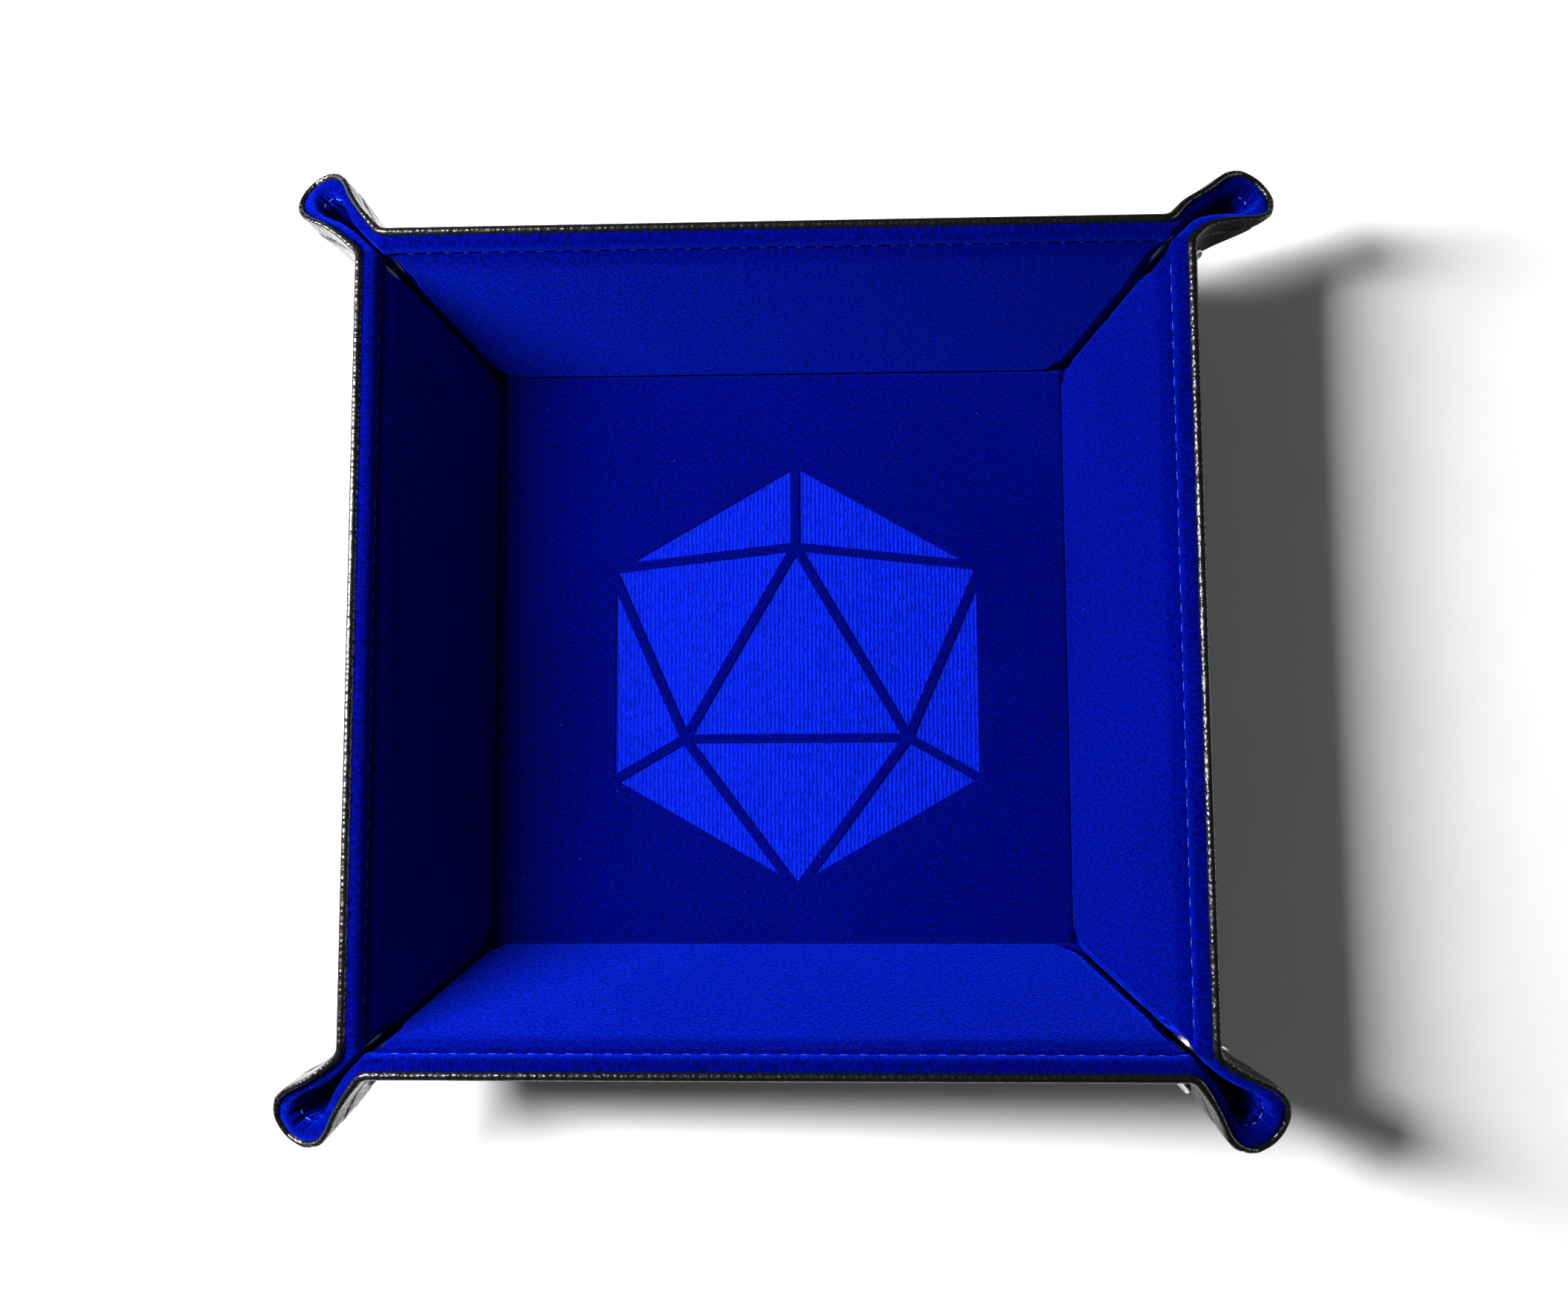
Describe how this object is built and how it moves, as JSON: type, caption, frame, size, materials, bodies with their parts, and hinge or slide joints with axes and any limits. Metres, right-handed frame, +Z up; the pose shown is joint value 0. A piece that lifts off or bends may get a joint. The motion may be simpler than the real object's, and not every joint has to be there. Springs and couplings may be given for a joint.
{
  "type": "folding dice tray",
  "caption": "Square tray with lined walls that folds up from a flat padded sheet, each corner pinched into an ear by a snap, for rolling dice.",
  "frame": {"origin": "centre of the underside of the floor, on the surface that the tray stands on", "axes": "+X towards the right wall, +Y towards the back wall, +Z up out of the tray"},
  "size_m": [0.224, 0.224, 0.0466],
  "materials": {
    "leather": "pebbled, satin",
    "velvet": "short pile velvet",
    "board": "matt",
    "snap_metal": "polished nickel"
  },
  "bodies": {
    "base": {"base_leather": "leather", "base_board": "board", "base_lining": "velvet", "right_hinge_leather": "leather", "back_hinge_leather": "leather", "left_hinge_leather": "leather", "front_hinge_leather": "leather"},
    "front_wall": {"front_wall_leather": "leather", "front_wall_board": "board", "front_wall_lining": "velvet"},
    "right_wall": {"right_wall_leather": "leather", "right_wall_board": "board", "right_wall_lining": "velvet"},
    "back_wall": {"back_wall_leather": "leather", "back_wall_board": "board", "back_wall_lining": "velvet"},
    "left_wall": {"left_wall_leather": "leather", "left_wall_board": "board", "left_wall_lining": "velvet"},
    "front_right_stud_wing": {"front_right_stud_wing_leather": "leather", "front_right_stud_wing_lining": "velvet", "front_right_stud_cap": "snap_metal", "front_right_stud": "snap_metal"},
    "front_right_stud_curl": {"front_right_stud_curl": "leather"},
    "front_left_socket_wing": {"front_left_socket_wing_leather": "leather", "front_left_socket_wing_lining": "velvet", "front_left_socket_cap": "snap_metal", "front_left_socket": "snap_metal"},
    "front_left_socket_curl": {"front_left_socket_curl": "leather"},
    "back_right_stud_wing": {"back_right_stud_wing_leather": "leather", "back_right_stud_wing_lining": "velvet", "back_right_stud_cap": "snap_metal", "back_right_stud": "snap_metal"},
    "back_right_stud_curl": {"back_right_stud_curl": "leather"},
    "front_right_socket_wing": {"front_right_socket_wing_leather": "leather", "front_right_socket_wing_lining": "velvet", "front_right_socket_cap": "snap_metal", "front_right_socket": "snap_metal"},
    "front_right_socket_curl": {"front_right_socket_curl": "leather"},
    "back_left_stud_wing": {"back_left_stud_wing_leather": "leather", "back_left_stud_wing_lining": "velvet", "back_left_stud_cap": "snap_metal", "back_left_stud": "snap_metal"},
    "back_left_stud_curl": {"back_left_stud_curl": "leather"},
    "back_right_socket_wing": {"back_right_socket_wing_leather": "leather", "back_right_socket_wing_lining": "velvet", "back_right_socket_cap": "snap_metal", "back_right_socket": "snap_metal"},
    "back_right_socket_curl": {"back_right_socket_curl": "leather"},
    "front_left_stud_wing": {"front_left_stud_wing_leather": "leather", "front_left_stud_wing_lining": "velvet", "front_left_stud_cap": "snap_metal", "front_left_stud": "snap_metal"},
    "front_left_stud_curl": {"front_left_stud_curl": "leather"},
    "back_left_socket_wing": {"back_left_socket_wing_leather": "leather", "back_left_socket_wing_lining": "velvet", "back_left_socket_cap": "snap_metal", "back_left_socket": "snap_metal"},
    "back_left_socket_curl": {"back_left_socket_curl": "leather"}
  },
  "joints": [
    {"name": "front_wall_fold", "type": "hinge", "parent": "base", "child": "front_wall", "pos_m": [0, -0.07476, 0.00038], "axis": [1, 0, 0], "range_deg": [0, 61.5]},
    {"name": "right_wall_fold", "type": "hinge", "parent": "base", "child": "right_wall", "pos_m": [0.07476, 0, 0.00038], "axis": [0, 1, 0], "range_deg": [0, 61.5]},
    {"name": "back_wall_fold", "type": "hinge", "parent": "base", "child": "back_wall", "pos_m": [0, 0.07476, 0.00038], "axis": [-1, 0, 0], "range_deg": [0, 61.5]},
    {"name": "left_wall_fold", "type": "hinge", "parent": "base", "child": "left_wall", "pos_m": [-0.07476, 0, 0.00038], "axis": [0, -1, 0], "range_deg": [0, 61.5]},
    {"name": "front_right_stud_wing_fold", "type": "hinge", "parent": "front_wall", "child": "front_right_stud_wing", "pos_m": [0.06889, -0.07538, 0.00036], "axis": [0.3893, -0.3893, 0.8348], "range_deg": [0, 47.49]},
    {"name": "front_right_stud_curl_fold", "type": "hinge", "parent": "front_right_stud_wing", "child": "front_right_stud_curl", "pos_m": [0.09295, -0.09784, 0.02192], "axis": [-0.5827, 0.5827, -0.5665], "range_deg": [0, 85.2]},
    {"name": "front_left_socket_wing_fold", "type": "hinge", "parent": "front_wall", "child": "front_left_socket_wing", "pos_m": [-0.06889, -0.07538, 0.00036], "axis": [0.3893, 0.3893, -0.8348], "range_deg": [0, 47.49]},
    {"name": "front_left_socket_curl_fold", "type": "hinge", "parent": "front_left_socket_wing", "child": "front_left_socket_curl", "pos_m": [-0.09295, -0.09784, 0.02192], "axis": [-0.5827, -0.5827, 0.5665], "range_deg": [0, 85.2]},
    {"name": "back_right_stud_wing_fold", "type": "hinge", "parent": "right_wall", "child": "back_right_stud_wing", "pos_m": [0.07538, 0.06889, 0.00036], "axis": [0.3893, 0.3893, 0.8348], "range_deg": [0, 47.49]},
    {"name": "back_right_stud_curl_fold", "type": "hinge", "parent": "back_right_stud_wing", "child": "back_right_stud_curl", "pos_m": [0.09784, 0.09295, 0.02192], "axis": [-0.5827, -0.5827, -0.5665], "range_deg": [0, 85.2]},
    {"name": "front_right_socket_wing_fold", "type": "hinge", "parent": "right_wall", "child": "front_right_socket_wing", "pos_m": [0.07538, -0.06889, 0.00036], "axis": [-0.3893, 0.3893, -0.8348], "range_deg": [0, 47.49]},
    {"name": "front_right_socket_curl_fold", "type": "hinge", "parent": "front_right_socket_wing", "child": "front_right_socket_curl", "pos_m": [0.09784, -0.09295, 0.02192], "axis": [0.5827, -0.5827, 0.5665], "range_deg": [0, 85.2]},
    {"name": "back_left_stud_wing_fold", "type": "hinge", "parent": "back_wall", "child": "back_left_stud_wing", "pos_m": [-0.06889, 0.07538, 0.00036], "axis": [-0.3893, 0.3893, 0.8348], "range_deg": [0, 47.49]},
    {"name": "back_left_stud_curl_fold", "type": "hinge", "parent": "back_left_stud_wing", "child": "back_left_stud_curl", "pos_m": [-0.09295, 0.09784, 0.02192], "axis": [0.5827, -0.5827, -0.5665], "range_deg": [0, 85.2]},
    {"name": "back_right_socket_wing_fold", "type": "hinge", "parent": "back_wall", "child": "back_right_socket_wing", "pos_m": [0.06889, 0.07538, 0.00036], "axis": [-0.3893, -0.3893, -0.8348], "range_deg": [0, 47.49]},
    {"name": "back_right_socket_curl_fold", "type": "hinge", "parent": "back_right_socket_wing", "child": "back_right_socket_curl", "pos_m": [0.09295, 0.09784, 0.02192], "axis": [0.5827, 0.5827, 0.5665], "range_deg": [0, 85.2]},
    {"name": "front_left_stud_wing_fold", "type": "hinge", "parent": "left_wall", "child": "front_left_stud_wing", "pos_m": [-0.07538, -0.06889, 0.00036], "axis": [-0.3893, -0.3893, 0.8348], "range_deg": [0, 47.49]},
    {"name": "front_left_stud_curl_fold", "type": "hinge", "parent": "front_left_stud_wing", "child": "front_left_stud_curl", "pos_m": [-0.09784, -0.09295, 0.02192], "axis": [0.5827, 0.5827, -0.5665], "range_deg": [0, 85.2]},
    {"name": "back_left_socket_wing_fold", "type": "hinge", "parent": "left_wall", "child": "back_left_socket_wing", "pos_m": [-0.07538, 0.06889, 0.00036], "axis": [0.3893, -0.3893, -0.8348], "range_deg": [0, 47.49]},
    {"name": "back_left_socket_curl_fold", "type": "hinge", "parent": "back_left_socket_wing", "child": "back_left_socket_curl", "pos_m": [-0.09784, 0.09295, 0.02192], "axis": [-0.5827, 0.5827, 0.5665], "range_deg": [0, 85.2]}
  ],
  "couplings": [
    {"joint": "right_wall_fold", "follows": "front_wall_fold", "ratio": 1},
    {"joint": "back_wall_fold", "follows": "front_wall_fold", "ratio": 1},
    {"joint": "left_wall_fold", "follows": "front_wall_fold", "ratio": 1},
    {"joint": "front_right_stud_wing_fold", "follows": "front_wall_fold", "ratio": 0.77145},
    {"joint": "front_right_stud_curl_fold", "follows": "front_wall_fold", "ratio": 1.3846},
    {"joint": "front_left_socket_wing_fold", "follows": "front_wall_fold", "ratio": 0.77145},
    {"joint": "front_left_socket_curl_fold", "follows": "front_wall_fold", "ratio": 1.3846},
    {"joint": "back_right_stud_wing_fold", "follows": "front_wall_fold", "ratio": 0.77145},
    {"joint": "back_right_stud_curl_fold", "follows": "front_wall_fold", "ratio": 1.3846},
    {"joint": "front_right_socket_wing_fold", "follows": "front_wall_fold", "ratio": 0.77145},
    {"joint": "front_right_socket_curl_fold", "follows": "front_wall_fold", "ratio": 1.3846},
    {"joint": "back_left_stud_wing_fold", "follows": "front_wall_fold", "ratio": 0.77145},
    {"joint": "back_left_stud_curl_fold", "follows": "front_wall_fold", "ratio": 1.3846},
    {"joint": "back_right_socket_wing_fold", "follows": "front_wall_fold", "ratio": 0.77145},
    {"joint": "back_right_socket_curl_fold", "follows": "front_wall_fold", "ratio": 1.3846},
    {"joint": "front_left_stud_wing_fold", "follows": "front_wall_fold", "ratio": 0.77145},
    {"joint": "front_left_stud_curl_fold", "follows": "front_wall_fold", "ratio": 1.3846},
    {"joint": "back_left_socket_wing_fold", "follows": "front_wall_fold", "ratio": 0.77145},
    {"joint": "back_left_socket_curl_fold", "follows": "front_wall_fold", "ratio": 1.3846}
  ]
}
